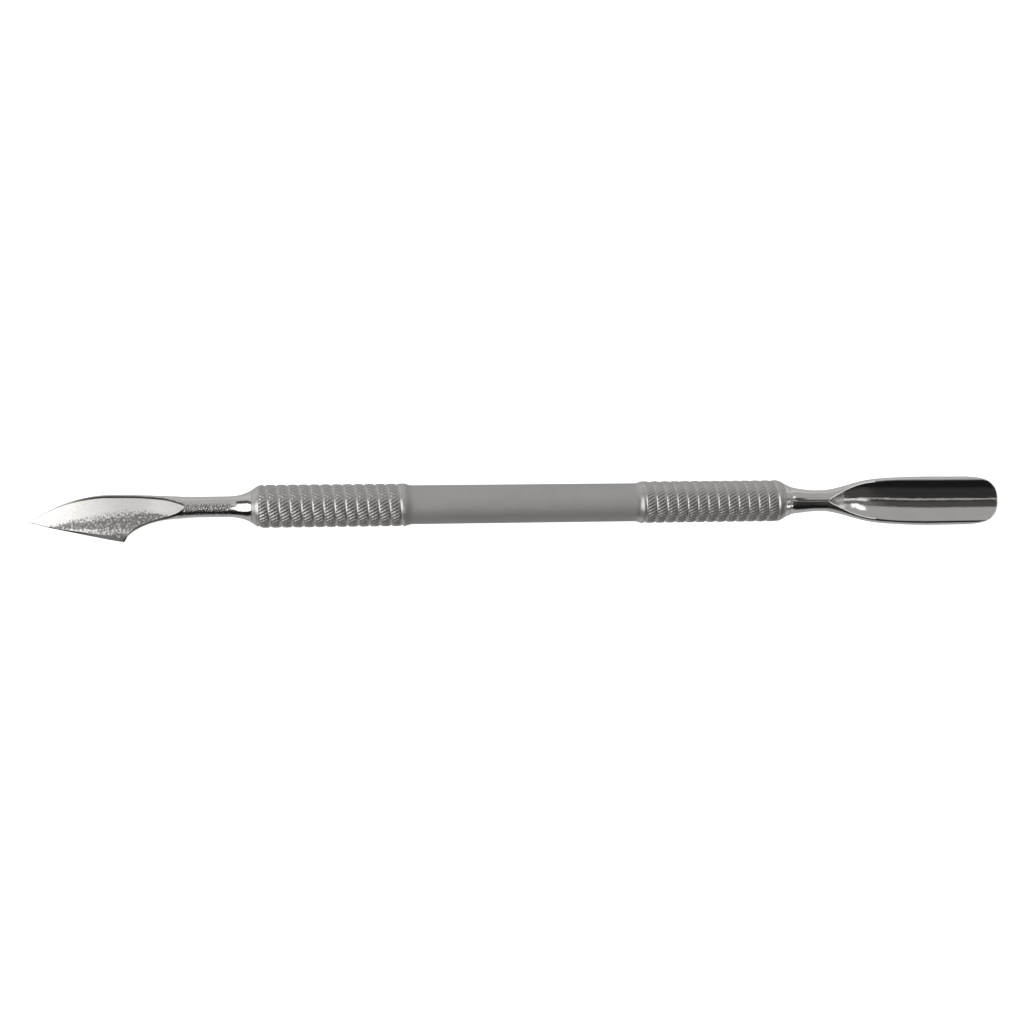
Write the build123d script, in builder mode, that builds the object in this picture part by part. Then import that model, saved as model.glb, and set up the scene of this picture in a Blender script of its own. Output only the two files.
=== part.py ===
from build123d import *
from math import cos, pi, sin
import os

# Double-ended manicure tool: a cuticle knife at -X, a trough-shaped cuticle
# pusher at +X, both brazed into a round bar handle.
# Frame: origin on the bar axis at mid-handle, +X towards the pusher,
# +Y towards the knife's spine, +Z out of the open side of the trough.
# Both ends fall towards -Z. All dimensions in millimetres.

os.makedirs("parts", exist_ok=True)

# ---------------------------------------------------------------- handle bar
handle_half = 37.88        # end faces at +/- this
end_face_r = 2.26          # small end of the turned shoulder
grip_r = 2.97              # over the grips
middle_r = 2.70            # turned-down middle
knife_grip_inner = -17.00  # collar edge of the grip on the knife side
pusher_grip_inner = 16.35  # collar edge of the grip on the pusher side
shoulder_len = 1.55
shoulder_mid_run = 0.55    # a point on the shoulder curve, from the end face
shoulder_mid_r = 2.68
collar_lead = 0.25         # the collar curve starts this far before the collar edge
collar_mid_run = 0.12      # a point on the collar curve, past the collar edge
collar_mid_r = 2.85
collar_run = 0.85          # the collar curve meets the middle this far past the edge

groove_pitch = 1.50        # single-start right-hand screw groove
groove_depth = 0.17
groove_cutter_r = 0.25
grooves = [(-35.95, 12.10), (17.30, 12.60)]  # (start x, turns): knife side, pusher side

# ------------------------------------------------------------ brazed sockets
tang_r = 1.30
tang_len = 12.0
braze_gap = 0.05           # filler film thickness
socket_r = tang_r + braze_gap
socket_depth = 12.6
socket_chamfer = 0.20
socket_tip_len = 0.7       # conical bottom of the socket
tang_start = handle_half - tang_len
cone_start = handle_half + braze_gap

# --------------------------------------------------- bends, common to both ends
bend_len = 6.0
fall_slope = 0.1228        # past the bend each end falls 7 degrees below the bar axis

# --------------------------------------------------------------- pusher end
pusher_bend_start = 43.60
scoop_lean = 0.20          # the lip stands this far off the bar's middle line, towards -Y
lean_start = 44.0
lean_len = 18.0
scoop_section_count = 44
ring_point_count = 24      # points around one scoop section
tang_overlap = 0.4         # the tang runs this far into the cone

# (x, radius) of the round trumpet cone and shank
pusher_cone = [
    (cone_start, end_face_r), (38.25, 2.11), (38.85, 1.91), (39.60, 1.77),
    (40.40, 1.66), (41.40, 1.56), (42.40, 1.51), (43.60, 1.52),
]
# (x, half width, depth below and height above the centreline,
#  level of the widest line, width of the rounded rim)
scoop_stations = [(x, r, r, r, 0.0, r) for x, r in pusher_cone] + [
    (44.80, 1.68, 1.52, 1.47, -0.02, 1.60),
    (46.00, 1.94, 1.52, 1.33, -0.10, 1.50),
    (47.30, 2.26, 1.52, 1.13, -0.25, 1.30),
    (48.60, 2.59, 1.52, 0.94, -0.42, 1.08),
    (49.90, 2.88, 1.51, 0.77, -0.56, 0.90),
    (51.20, 3.10, 1.50, 0.65, -0.66, 0.78),
    (53.00, 3.30, 1.48, 0.54, -0.74, 0.70),
    (55.00, 3.43, 1.46, 0.48, -0.78, 0.67),
    (58.00, 3.55, 1.45, 0.45, -0.80, 0.65),
    (61.00, 3.60, 1.45, 0.45, -0.80, 0.65),
    (65.60, 3.58, 1.42, 0.45, -0.78, 0.65),
    (73.40, 3.58, 1.18, 0.44, -0.66, 0.60),
]

trough_r = 4.63            # radius across the trough
trough_section_count = 32
run_out_x = 43.30          # first section of the trough cutter
run_out_lift = 0.12        # and how far it is raised
# (x, half width of the trough's mouth)
mouth_stations = [
    (44.05, 0.03), (44.35, 0.30), (45.00, 0.76), (45.65, 1.16), (46.75, 1.78),
    (47.85, 2.11), (49.10, 2.47), (50.70, 2.72), (52.30, 2.87), (54.80, 2.97),
    (60.50, 3.02), (74.40, 3.02),
]

# rounded outline of the lip, up to its tip: (x, distance from the scoop's middle line)
lip_outline = [
    (65.90, 3.66), (66.90, 3.575), (68.10, 3.50), (69.20, 3.34), (69.95, 3.15),
    (70.66, 2.85), (71.36, 2.40), (71.97, 1.80), (72.31, 1.20), (72.47, 0.60),
    (72.51, 0.0),
]
# block that trims the scoop to the lip outline
trim_end = 80
trim_half_width = 7
trim_half_height = 12

# ---------------------------------------------------------------- knife end
knife_bend_start = 44.60
knife_shank_end_r = 1.39
# (distance from mid-handle, radius)
knife_cone = [
    (38.20, 2.09), (38.70, 1.85), (39.30, 1.65),
    (40.00, 1.49), (41.00, 1.415), (42.50, 1.40),
]
# (distance from mid-handle, spine side y, cutting side y,
#  face edge on the spine side, face edge on the cutting side, half thickness)
blade_stations = [
    (43.80, 1.33, -1.33, 0.66, -0.66, 1.33),
    (44.60, 1.35, -1.35, 0.67, -0.67, 1.35),
    (45.20, 1.39, -1.40, 0.69, -0.70, 1.39),
    (46.20, 1.40, -1.42, 0.70, -0.71, 1.40),
    (46.90, 1.41, -1.50, 0.62, -0.64, 1.36),
    (47.70, 1.47, -1.55, 0.74, -0.95, 1.17),
    (48.80, 1.54, -1.64, 0.98, -1.17, 1.03),
    (50.10, 1.58, -1.81, 1.12, -1.44, 0.93),
    (51.50, 1.65, -2.14, 1.28, -1.86, 0.86),
    (52.50, 1.70, -2.52, 1.40, -2.22, 0.82),
    (53.40, 1.74, -2.95, 1.44, -2.70, 0.79),
    (54.00, 1.75, -3.42, 1.46, -3.14, 0.77),
    (54.50, 1.76, -3.92, 1.48, -3.62, 0.75),
    (54.93, 1.77, -4.66, 1.50, -4.10, 0.73),
    (56.50, 1.78, -4.40, 1.53, -3.84, 0.67),
    (58.70, 1.66, -3.94, 1.43, -3.46, 0.58),
    (60.80, 1.27, -3.44, 1.14, -3.12, 0.49),
    (62.90, 0.64, -2.99, 0.55, -2.78, 0.38),
    (65.00, -0.36, -2.55, -0.42, -2.44, 0.27),
    (66.60, -1.16, -2.12, -1.20, -2.04, 0.15),
    (67.63, -1.77, -1.86, -1.79, -1.84, 0.05),
]
thin_bevel_y = -2.2        # sections whose cutting side reaches this have a thinner bevel


# ------------------------------------------------------------------- helpers
def centreline_z(distance, bend_start):
    """Centreline height: straight, a parabolic bend, straight."""
    run = distance - bend_start
    if run <= 0:
        return 0.0
    if run < bend_len:
        return -fall_slope * run ** 2 / (2 * bend_len)
    return -fall_slope * bend_len / 2 - fall_slope * (run - bend_len)


def interpolate(x, table):
    """Values of a station table at x, by monotone cubics between stations."""
    xs = [row[0] for row in table]
    if x <= xs[0]:
        return table[0][1:]
    if x >= xs[-1]:
        return table[-1][1:]
    i = max(k for k in range(len(xs) - 1) if xs[k] <= x)
    step = xs[i + 1] - xs[i]
    u = (x - xs[i]) / step

    def column_value(values):
        def secant(k):
            return (values[k + 1] - values[k]) / (xs[k + 1] - xs[k])

        def slope(k):
            if k == 0:
                return secant(0)
            if k == len(xs) - 1:
                return secant(k - 1)
            before, after = secant(k - 1), secant(k)
            if before * after <= 0:
                return 0.0
            return 2 * before * after / (before + after)

        return (values[i] * (1 + 2 * u) * (1 - u) ** 2
                + slope(i) * step * u * (1 - u) ** 2
                + values[i + 1] * u ** 2 * (3 - 2 * u)
                + slope(i + 1) * step * u ** 2 * (u - 1))

    return [column_value(column) for column in list(zip(*table))[1:]]


def evenly(start, end, count):
    return [start + (end - start) * k / (count - 1) for k in range(count)]


def rim_height(y, half_width, top, widest_z, rim_width):
    """Top of the scoop's section at y, before the trough is cut."""
    u = min(max((abs(y) - (half_width - rim_width)) / rim_width, 0.0), 1.0)
    return widest_z + (top - widest_z) * (1 - u * u) ** 0.5


def scoop_ring(half_width, depth, top, widest_z, rim_width):
    """Half ellipse below the widest line, rounded rims and a flat above it."""
    ring = []
    for i in range(ring_point_count):
        angle = 2 * pi * i / ring_point_count
        y = half_width * cos(angle)
        if i in (0, ring_point_count // 2):
            z = widest_z
        elif i < ring_point_count / 2:
            z = rim_height(y, half_width, top, widest_z, rim_width)
        else:
            z = widest_z + (depth + widest_z) * sin(angle)
        ring.append((y, z))
    return ring


def middle_y(x):
    """Sideways place of the scoop's middle line, eased from 0 to the full lean."""
    u = min(max((x - lean_start) / lean_len, 0.0), 1.0)
    return -scoop_lean * u * u * (3 - 2 * u)


def blade_ring(spine, cutting, face_spine, face_cutting, half):
    """Twelve-sided blade section: spine, two ground faces and two bevels."""
    # shares of the half thickness at the face edge and part way down the bevel
    face_share, bevel_share = (0.80, 0.50) if cutting > thin_bevel_y else (0.52, 0.26)
    upper = [
        (spine, 0.0),
        (spine * 0.75 + face_spine * 0.25, half * 0.52),
        (face_spine, half * 0.87),
        (face_spine * 0.45 + face_cutting * 0.55, half),
        (face_cutting, half * face_share),
        (cutting * 0.70 + face_cutting * 0.30, half * bevel_share),
        (cutting, 0.0),
    ]
    return upper + [(y, -z) for y, z in upper[5:0:-1]]


def save(part, name):
    part.label = name
    export_step(part, f"parts/{name}.step")


# -------------------------------------------------------------------- pieces
def build_handle_bar():
    with BuildPart() as bar:
        with BuildSketch(Plane.XY):
            with BuildLine():
                knife_axis = (-handle_half, 0)
                knife_face = (-handle_half, end_face_r)
                knife_shoulder = (-handle_half + shoulder_len, grip_r)
                knife_collar = (knife_grip_inner - collar_lead, grip_r)
                knife_middle = (knife_grip_inner + collar_run, middle_r)
                pusher_middle = (pusher_grip_inner - collar_run, middle_r)
                pusher_collar = (pusher_grip_inner + collar_lead, grip_r)
                pusher_shoulder = (handle_half - shoulder_len, grip_r)
                pusher_face = (handle_half, end_face_r)
                pusher_axis = (handle_half, 0)
                Line(knife_axis, knife_face)
                Spline(knife_face, (-handle_half + shoulder_mid_run, shoulder_mid_r),
                       knife_shoulder, tangents=((1, 0.85), (1, 0)))
                Line(knife_shoulder, knife_collar)
                Spline(knife_collar, (knife_grip_inner + collar_mid_run, collar_mid_r),
                       knife_middle, tangents=((1, 0), (1, 0)))
                Line(knife_middle, pusher_middle)
                Spline(pusher_middle, (pusher_grip_inner - collar_mid_run, collar_mid_r),
                       pusher_collar, tangents=((1, 0), (1, 0)))
                Line(pusher_collar, pusher_shoulder)
                Spline(pusher_shoulder, (handle_half - shoulder_mid_run, shoulder_mid_r),
                       pusher_face, tangents=((1, 0), (1, -0.85)))
                Line(pusher_face, pusher_axis)
                Line(pusher_axis, knife_axis)
            make_face()
        revolve(axis=Axis.X)

        # screw grooves of the two grips
        for start, turns in grooves:
            with BuildLine(mode=Mode.PRIVATE) as groove_path:
                Helix(pitch=groove_pitch, height=groove_pitch * turns,
                      radius=grip_r + groove_cutter_r - groove_depth,
                      center=(start, 0, 0), direction=(1, 0, 0))
            path = groove_path.line
            with BuildSketch(Plane(origin=path @ 0, z_dir=path % 0),
                             mode=Mode.PRIVATE) as groove_shape:
                Circle(groove_cutter_r)
            sweep(groove_shape.sketch, path=path, is_frenet=True, mode=Mode.SUBTRACT)

        # blind sockets for the tangs
        for side in (-1, 1):
            with BuildSketch(Plane.XY):
                with BuildLine():
                    mouth = side * handle_half
                    Polyline((mouth, 0), (mouth, socket_r + socket_chamfer),
                             (mouth - side * socket_chamfer, socket_r),
                             (mouth - side * socket_depth, socket_r),
                             (mouth - side * (socket_depth + socket_tip_len), 0),
                             close=True)
                make_face()
            revolve(axis=Axis.X, mode=Mode.SUBTRACT)
    return bar.part


def build_pusher_end():
    with BuildPart() as pusher:
        # trumpet cone, shank and scoop in one run of sections
        for x in evenly(cone_start, scoop_stations[-1][0], scoop_section_count):
            origin = (x, middle_y(x), centreline_z(x, pusher_bend_start))
            with BuildSketch(Plane(origin=origin, x_dir=(0, 1, 0), z_dir=(1, 0, 0))):
                with BuildLine():
                    Spline(*scoop_ring(*interpolate(x, scoop_stations)), periodic=True)
                make_face()
        loft()

        # the trough: a round-bottomed hollow that runs out in a point on the shank
        mouth_start, mouth_end = mouth_stations[0][0], mouth_stations[-1][0]
        for x in [run_out_x] + evenly(mouth_start, mouth_end, trough_section_count):
            (mouth_half,) = interpolate(x, mouth_stations)
            half_width, _, top, widest_z, rim_width = interpolate(x, scoop_stations)
            level = rim_height(mouth_half, half_width, top, widest_z, rim_width)
            if x == run_out_x:
                level += run_out_lift
            centre_z = (centreline_z(x, pusher_bend_start) + level
                        + (trough_r ** 2 - mouth_half ** 2) ** 0.5)
            with BuildSketch(Plane(origin=(x, middle_y(x), centre_z),
                                   x_dir=(0, 1, 0), z_dir=(1, 0, 0))):
                Circle(trough_r)
        loft(mode=Mode.SUBTRACT)

        # rounded leading edge
        with BuildSketch(Plane.XY.offset(-trim_half_height)):
            with BuildLine():
                edge = [(x, y - scoop_lean) for x, y in lip_outline]
                edge += [(x, -y - scoop_lean) for x, y in reversed(lip_outline[:-1])]
                trim_start = lip_outline[0][0]
                Spline(*edge)
                Polyline(edge[-1], (trim_start, -trim_half_width),
                         (trim_end, -trim_half_width), (trim_end, trim_half_width),
                         (trim_start, trim_half_width), edge[0])
            make_face()
        extrude(amount=2 * trim_half_height, mode=Mode.SUBTRACT)

        # tang
        with BuildSketch(Plane.YZ.offset(tang_start)):
            Circle(tang_r)
        extrude(amount=tang_len + braze_gap + tang_overlap)
    return pusher.part


def build_knife_end():
    with BuildPart() as knife:
        # tang, trumpet cone and shank
        with BuildSketch(Plane.XY):
            with BuildLine():
                tang_axis = (-tang_start, 0)
                cone_face = (-cone_start, end_face_r)
                cone_points = [(-distance, r) for distance, r in knife_cone]
                Polyline(tang_axis, (-tang_start, tang_r), (-cone_start, tang_r), cone_face)
                Spline(cone_face, *cone_points, tangents=((-0.25, -0.2), (-1, 0)))
                Polyline(cone_points[-1], (-knife_bend_start, knife_shank_end_r),
                         (-knife_bend_start, 0), tang_axis)
            make_face()
        revolve(axis=Axis.X)

        # blade: ground faces, spine and bevelled cutting edge
        for distance, *section in blade_stations:
            origin = (-distance, 0, centreline_z(distance, knife_bend_start))
            with BuildSketch(Plane(origin=origin, x_dir=(0, 1, 0), z_dir=(1, 0, 0))):
                with BuildLine():
                    Polyline(*blade_ring(*section), close=True)
                make_face()
        loft(ruled=True)
    return knife.part


def build_braze(side):
    """Film around the tang, a fillet in the socket mouth and a film on the end face."""
    profile = [
        (tang_start, tang_r), (tang_start, socket_r),
        (handle_half - socket_chamfer, socket_r), (handle_half, socket_r + socket_chamfer),
        (handle_half, end_face_r), (cone_start, end_face_r), (cone_start, tang_r),
    ]
    with BuildPart() as braze:
        with BuildSketch(Plane.XY):
            with BuildLine():
                Polyline(*[(side * x, r) for x, r in profile], close=True)
            make_face()
        revolve(axis=Axis.X)
    return braze.part


save(build_handle_bar(), "handle_bar")
save(build_pusher_end(), "pusher_end")
save(build_knife_end(), "knife_end")
save(build_braze(side=1), "pusher_end_braze")
save(build_braze(side=-1), "knife_end_braze")
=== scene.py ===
# Double-ended cuticle tool: a knurled steel bar with a cuticle pusher at +X and a knife at -X.
# The bar's axis is the X axis and its middle is at the origin. The pusher's hollow opens
# upwards (+Z); the knife lies flat, its spine towards +Y and its cutting edge towards -Y.
# Lengths are millimetres in the dimensions and tables; meshes, shaders and stage are in metres.
import math

import bpy
import numpy as np
from mathutils import Matrix, Vector


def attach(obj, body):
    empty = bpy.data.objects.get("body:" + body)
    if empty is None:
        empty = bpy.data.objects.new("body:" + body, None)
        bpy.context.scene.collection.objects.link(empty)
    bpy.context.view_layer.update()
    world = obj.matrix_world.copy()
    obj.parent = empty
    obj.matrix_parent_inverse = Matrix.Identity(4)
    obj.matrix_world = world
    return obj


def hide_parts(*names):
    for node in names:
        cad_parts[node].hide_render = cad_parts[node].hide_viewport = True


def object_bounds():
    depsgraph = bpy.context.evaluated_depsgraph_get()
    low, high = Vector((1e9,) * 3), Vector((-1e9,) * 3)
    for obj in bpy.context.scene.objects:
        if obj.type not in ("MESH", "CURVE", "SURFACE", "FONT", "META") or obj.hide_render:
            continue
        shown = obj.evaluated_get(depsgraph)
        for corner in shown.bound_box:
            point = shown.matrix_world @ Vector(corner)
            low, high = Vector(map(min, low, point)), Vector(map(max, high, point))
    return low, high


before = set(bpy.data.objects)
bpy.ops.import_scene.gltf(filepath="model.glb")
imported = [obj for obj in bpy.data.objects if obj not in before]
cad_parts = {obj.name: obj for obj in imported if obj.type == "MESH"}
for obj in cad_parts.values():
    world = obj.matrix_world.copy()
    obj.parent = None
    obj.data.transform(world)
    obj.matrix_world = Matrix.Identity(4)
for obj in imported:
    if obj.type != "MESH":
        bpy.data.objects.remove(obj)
cad_lo, cad_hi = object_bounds()
MM = 0.001
PI = math.pi

# ------------------------------------------------------------- dimensions
HALF_LENGTH = 37.88         # mid-handle to the bar's end faces
END_RADIUS = 2.26           # at the end faces
GRIP_RADIUS = 2.97
TANG_RADIUS, TANG_LENGTH, TANG_CHAMFER = 1.30, 12.0, 0.25
GAP = 0.05                  # clearance between a working end and the bar
SOCKET_RADIUS, SOCKET_DEPTH, SOCKET_CHAMFER = TANG_RADIUS + GAP, 12.6, 0.20
SHANK_START = HALF_LENGTH + GAP
TANG_RINGS = 3              # rings that make each tang, ahead of its shank

# Both working ends bend below the bar's axis
PUSHER_BEND, KNIFE_BEND = 43.60, 44.60      # where the bends start
BEND_LENGTH, BEND_SLOPE = 6.0, 0.1228


# ---------------------------------------------------------------- geometry
def curve(rows):
    """Monotone cubic through table rows (x, value, ...); the result maps x to the value(s)."""
    table = np.array(rows, float)
    xs, values = table[:, 0], table[:, 1:]
    steps = np.diff(xs)
    slopes = np.diff(values, axis=0) / steps[:, None]
    tangents = np.zeros_like(values)
    tangents[0], tangents[-1] = slopes[0], slopes[-1]
    for k in range(1, len(xs) - 1):
        before, after = slopes[k - 1], slopes[k]
        same = before * after > 0
        harmonic = 2 * before[same] * after[same] / (before[same] + after[same])
        tangents[k][same] = harmonic

    def evaluate(x):
        x = np.clip(np.asarray(x, float), xs[0], xs[-1])
        i = np.clip(np.searchsorted(xs, x, side="right") - 1, 0, len(xs) - 2)
        u = ((x - xs[i]) / steps[i])[..., None]
        step = steps[i][..., None]
        out = (values[i] * (1 + 2 * u) * (1 - u) ** 2 + tangents[i] * step * u * (1 - u) ** 2
               + values[i + 1] * u ** 2 * (3 - 2 * u)
               + tangents[i + 1] * step * u ** 2 * (u - 1))
        return out[..., 0] if out.shape[-1] == 1 else np.moveaxis(out, -1, 0)

    return evaluate


def ramp(start, end, x):
    """Smooth step from 0 at start to 1 at end."""
    t = np.clip((np.asarray(x, float) - start) / (end - start), 0, 1)
    return t * t * (3 - 2 * t)


def window(start, end, soft, x):
    """1 between start and end, with soft sides."""
    return ramp(start - soft, start + soft, x) * (1 - ramp(end - soft, end + soft, x))


def centre_z(x):
    """Height of the tool's centreline: level, then a parabola, then a straight slope."""
    run = np.maximum(np.abs(x) - np.where(np.asarray(x) > 0, PUSHER_BEND, KNIFE_BEND), 0)
    return np.where(run < BEND_LENGTH, -BEND_SLOPE * run ** 2 / (2 * BEND_LENGTH),
                    -BEND_SLOPE * (run - BEND_LENGTH / 2))


def circle(x, radius, angles):
    return np.stack([np.full(len(angles), x), radius * np.cos(angles),
                     radius * np.sin(angles)], 1)


def tang_rings(first_ring, side):
    """Rings of the tang behind a shank; side is +1 for the pusher and -1 for the knife."""
    angles = np.arctan2(first_ring[:, 2], first_ring[:, 1])
    inner = HALF_LENGTH - TANG_LENGTH
    return [circle(side * inner, TANG_RADIUS - TANG_CHAMFER, angles),
            circle(side * (inner + TANG_CHAMFER), TANG_RADIUS, angles),
            circle(side * SHANK_START, TANG_RADIUS, angles)]


def add_piece(name, rings, start, end, materials, face_slots, crease_rings, crease_lines=()):
    """Closed mesh through rings of points (mm), fanned in to the points start and end.

    With no end point, the two halves of the last ring are bridged instead.
    face_slots: material slot of each face between rings, by ring and column.
    crease_lines: (first ring, last ring, column).
    """
    count, n = len(rings), len(rings[0])
    last, centre = (count - 1) * n, count * n
    centres = [start] if end is None else [start, end]
    points = np.concatenate([*rings, np.array(centres, float)])
    pairs = [(j, (j + 1) % n) for j in range(n)]
    faces = [[a + j, a + k, a + n + k, a + n + j] for a in range(0, last, n) for j, k in pairs]
    faces += [[centre, k, j] for j, k in pairs]
    if end is None:
        half = n // 2
        lower = [last + n - 1 - i for i in range(half + 1)]
        upper = [lower[0], *range(last, last + half - 1), lower[-1]]
        for i in range(half):
            corners = (lower[i], upper[i], upper[i + 1], lower[i + 1])
            # the halves meet at both sides, where the quad becomes a triangle
            faces.append(list(dict.fromkeys(corners))[::-1])
    else:
        faces += [[centre + 1, last + j, last + k] for j, k in pairs]

    mesh = bpy.data.meshes.new(name)
    mesh.from_pydata((points * MM).tolist(), [], faces)
    mesh.update()
    for material in materials:
        mesh.materials.append(material)
    slots = np.zeros(len(faces), np.int32)
    slots[:face_slots.size] = face_slots.ravel()
    mesh.polygons.foreach_set("material_index", slots)
    mesh.polygons.foreach_set("use_smooth", np.ones(len(faces), bool))

    creases = [(i % count * n + j, i % count * n + k) for i in crease_rings for j, k in pairs]
    creases += [(i * n + column, (i + 1) * n + column)
                for first, final, column in crease_lines for i in range(first, final)]
    creases = {tuple(sorted(crease)) for crease in creases}
    mesh.edges.foreach_set(
        "use_edge_sharp", [tuple(sorted(edge.vertices)) in creases for edge in mesh.edges])
    mesh.validate()
    piece = bpy.data.objects.new(name, mesh)
    bpy.context.scene.collection.objects.link(piece)
    return piece


# ------------------------------------------------------------ shader nodes
class Signal:
    """An output socket; arithmetic and methods add the nodes that work on it."""

    def __init__(self, tree, socket):
        self.tree = tree
        self.socket = socket

    def __add__(self, other):
        return combine("ADD", self, other)

    def __radd__(self, other):
        return combine("ADD", other, self)

    def __sub__(self, other):
        return combine("SUBTRACT", self, other)

    def __rsub__(self, other):
        return combine("SUBTRACT", other, self)

    def __mul__(self, other):
        return combine("MULTIPLY", self, other)

    def __truediv__(self, other):
        return combine("DIVIDE", self, other)

    def vary(self, amount):
        """Noise centred on 0 and scaled by amount."""
        return (self - 0.5) * amount

    def step(self, over, to=(0.0, 1.0)):
        """Smooth change between the two values of to, over the given range."""
        inputs = {0: self, 1: over[0], 2: over[1], 3: to[0], 4: to[1]}
        return add_node(self.tree, "ShaderNodeMapRange", inputs,
                        interpolation_type="SMOOTHSTEP", clamp=True)

    def band(self, over, soft):
        start, end = over
        return (self.step(over=(start - soft, start + soft))
                * self.step(over=(end - soft, end + soft), to=(1.0, 0.0)))

    def mix(self, low, high):
        inputs = {0: self, 2: low, 3: high}
        return add_node(self.tree, "ShaderNodeMix", inputs, data_type="FLOAT")

    def mix_color(self, low, high):
        inputs = {0: self, 6: low, 7: high}
        return add_node(self.tree, "ShaderNodeMix", inputs, output=2, data_type="RGBA")

    def noise(self, scale, detail, roughness):
        inputs = {"Vector": self, "Scale": scale, "Detail": detail, "Roughness": roughness}
        return add_node(self.tree, "ShaderNodeTexNoise", inputs)

    def vector(self, operation, operand):
        inputs = {0: self, 1: operand}
        return add_node(self.tree, "ShaderNodeVectorMath", inputs, operation=operation)

    def axes(self):
        x = add_node(self.tree, "ShaderNodeSeparateXYZ", {0: self})
        return [Signal(self.tree, socket) for socket in x.socket.node.outputs]

    def bump(self, strength, distance, normal=None):
        inputs = {"Strength": strength, "Distance": distance, "Height": self}
        if normal is not None:
            inputs["Normal"] = normal
        return add_node(self.tree, "ShaderNodeBump", inputs)


def add_node(tree, kind, inputs=(), output=0, **settings):
    """Add a node and return one of its outputs; inputs are numbers, colours or signals."""
    node = tree.nodes.new(kind)
    for key, value in settings.items():
        setattr(node, key, value)
    for key, value in dict(inputs).items():
        if isinstance(value, Signal):
            tree.links.new(value.socket, node.inputs[key])
        else:
            node.inputs[key].default_value = value
    return Signal(tree, node.outputs[output])


def combine(operation, *operands, clamp=False):
    """Math node on numbers and signals."""
    tree = next(value.tree for value in operands if isinstance(value, Signal))
    return add_node(tree, "ShaderNodeMath", enumerate(operands),
                    operation=operation, use_clamp=clamp)


def empty_tree(owner):
    owner.use_nodes = True
    owner.node_tree.nodes.clear()
    return owner.node_tree


def set_output(shader, kind):
    node = shader.tree.nodes.new(kind)
    shader.tree.links.new(shader.socket, node.inputs[0])


def new_material(name):
    """An empty material and the position in the object's own space."""
    material = bpy.data.materials.new(name)
    tree = empty_tree(material)
    return material, add_node(tree, "ShaderNodeTexCoord", output="Object")


def finish_material(material, color, metallic, roughness, normal):
    shader = add_node(material.node_tree, "ShaderNodeBsdfPrincipled", {
        "Base Color": color, "Metallic": metallic, "Roughness": roughness, "Normal": normal})
    set_output(shader, "ShaderNodeOutputMaterial")
    return material


# --------------------------------------------------------------- materials
def satin_steel():
    """Bead-blasted bar: fine grit and faint mottling, and painted shade in the knurl's valleys.
    """
    material, position = new_material("satin_steel")
    tree = material.node_tree
    relief = add_node(tree, "ShaderNodeAttribute", output="Fac", attribute_name="relief")
    knurled = add_node(tree, "ShaderNodeAttribute", output="Fac", attribute_name="knurled")
    grit = position.noise(scale=9000.0, detail=2.0, roughness=0.6)
    fine = position.noise(scale=3000.0, detail=3.0, roughness=0.6)
    patches = position.noise(scale=420.0, detail=3.0, roughness=0.55)
    wide = position.noise(scale=90.0, detail=2.0, roughness=0.5)
    tone = patches.vary(amount=0.30) + wide.vary(amount=0.30) + grit.vary(amount=0.25)
    color = combine("ADD", 0.5, tone, clamp=True).mix_color(
        low=(0.41, 0.396, 0.388, 1), high=(0.615, 0.605, 0.60, 1))
    valley_shade = relief.step(over=(0.25, 0.95), to=(0.0, 1.0)) * 0.50     # painted shade in the valleys, at most half dark
    color = valley_shade.mix_color(low=color, high=(0.07, 0.068, 0.066, 1))
    roughness = knurled.mix(low=0.60, high=0.30) + fine.vary(amount=0.16)
    height = grit * 0.5 + fine * 0.8                # share of each grain in the relief
    normal = height.bump(strength=0.45, distance=0.000016)
    return finish_material(material, color, 0.74, roughness, normal)


def polished_steel():
    """Mirror finish: lengthwise polishing lines and shallow dents, more on the knife's neck."""
    material, position = new_material("polished_steel")
    lines = position.vector("MULTIPLY", (90.0, 5200.0, 5200.0)).noise(
        scale=1.0, detail=3.0, roughness=0.6)
    haze = position.noise(scale=300.0, detail=3.0, roughness=0.55)
    dents = position.noise(scale=2300.0, detail=2.0, roughness=0.55)
    pits = position.noise(scale=4300.0, detail=2.0, roughness=0.5)
    ripple = position.noise(scale=800.0, detail=2.0, roughness=0.5)
    x = position.axes()[0]
    knife = x.step(over=(-0.0412, -0.0404), to=(1.0, 0.0))
    color = haze.mix_color(low=(0.72, 0.705, 0.70, 1), high=(0.82, 0.81, 0.80, 1))
    # rougher where the pusher's hollow opens
    throat = x.step(over=(0.0434, 0.0440)) * x.step(over=(0.0460, 0.0467), to=(1.0, 0.0))
    mirror, throat_extra = 0.075, 0.17
    roughness = mirror + (haze.vary(amount=0.05) + lines.vary(amount=0.06))
    roughness = roughness + throat * throat_extra
    streaks = position.vector("MULTIPLY", (420.0, 4200.0, 4200.0)).noise(
        scale=1.0, detail=2.0, roughness=0.55)
    normal = streaks.bump(strength=0.55, distance=0.0000080)
    normal = lines.bump(strength=0.30, distance=0.000004, normal=normal)
    normal = ripple.bump(strength=0.15, distance=0.000012, normal=normal)
    normal = dents.bump(
        strength=knife.mix(low=0.14, high=0.60), distance=0.000030, normal=normal)
    normal = pits.bump(
        strength=knife.mix(low=0.02, high=1.0), distance=0.000058, normal=normal)
    return finish_material(material, color, 1.0, roughness, normal)


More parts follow.
